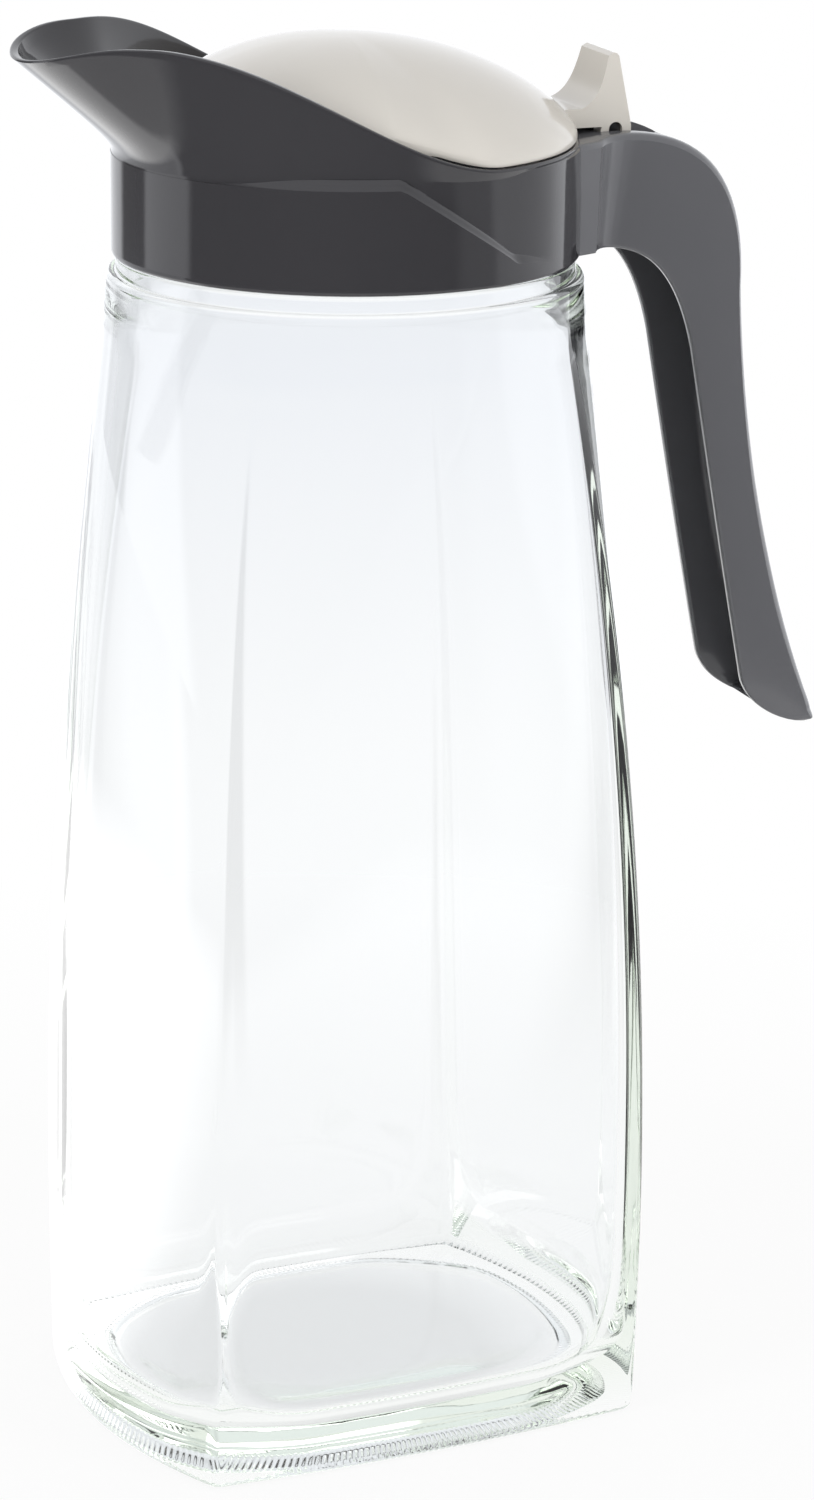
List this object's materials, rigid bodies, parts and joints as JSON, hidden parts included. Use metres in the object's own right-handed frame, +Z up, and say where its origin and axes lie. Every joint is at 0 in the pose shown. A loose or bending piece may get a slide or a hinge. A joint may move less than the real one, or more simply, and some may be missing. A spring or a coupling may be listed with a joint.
{
  "type": "glass pitcher with hinged lid",
  "caption": "Rounded-square glass pitcher with a grey collar, spout and hollow handle moulded as one piece, and a domed pale lid that hinges open by a thumb lever.",
  "frame": {"origin": "centre of the jug's base on the table, on the axis of the neck", "axes": "+Z up, the spout points along -X and the handle along +X, the hinge pin lies along Y"},
  "size_m": [0.1672, 0.1018, 0.2837],
  "materials": {
    "glass": "clear pressed glass",
    "grey_plastic": "glossy mid grey",
    "seal_rubber": "soft pale silicone",
    "pin_steel": "plain drawn wire",
    "cream_plastic": "glossy cream"
  },
  "bodies": {
    "jug_body": {"jug": "glass"},
    "pourer_body": {"pourer": "grey_plastic", "seal": "seal_rubber", "hinge_pin": "pin_steel"},
    "lid_body": {"lid": "cream_plastic"}
  },
  "joints": [
    {"name": "pourer_lift", "type": "slide", "parent": "jug_body", "child": "pourer_body", "axis": [0, 0, 1], "range_m": [0, 0.12]},
    {"name": "lid_hinge", "type": "hinge", "parent": "pourer_body", "child": "lid_body", "pos_m": [0.0536, 0, 0.2617], "axis": [0, 1, 0], "range_deg": [0, 75]}
  ]
}
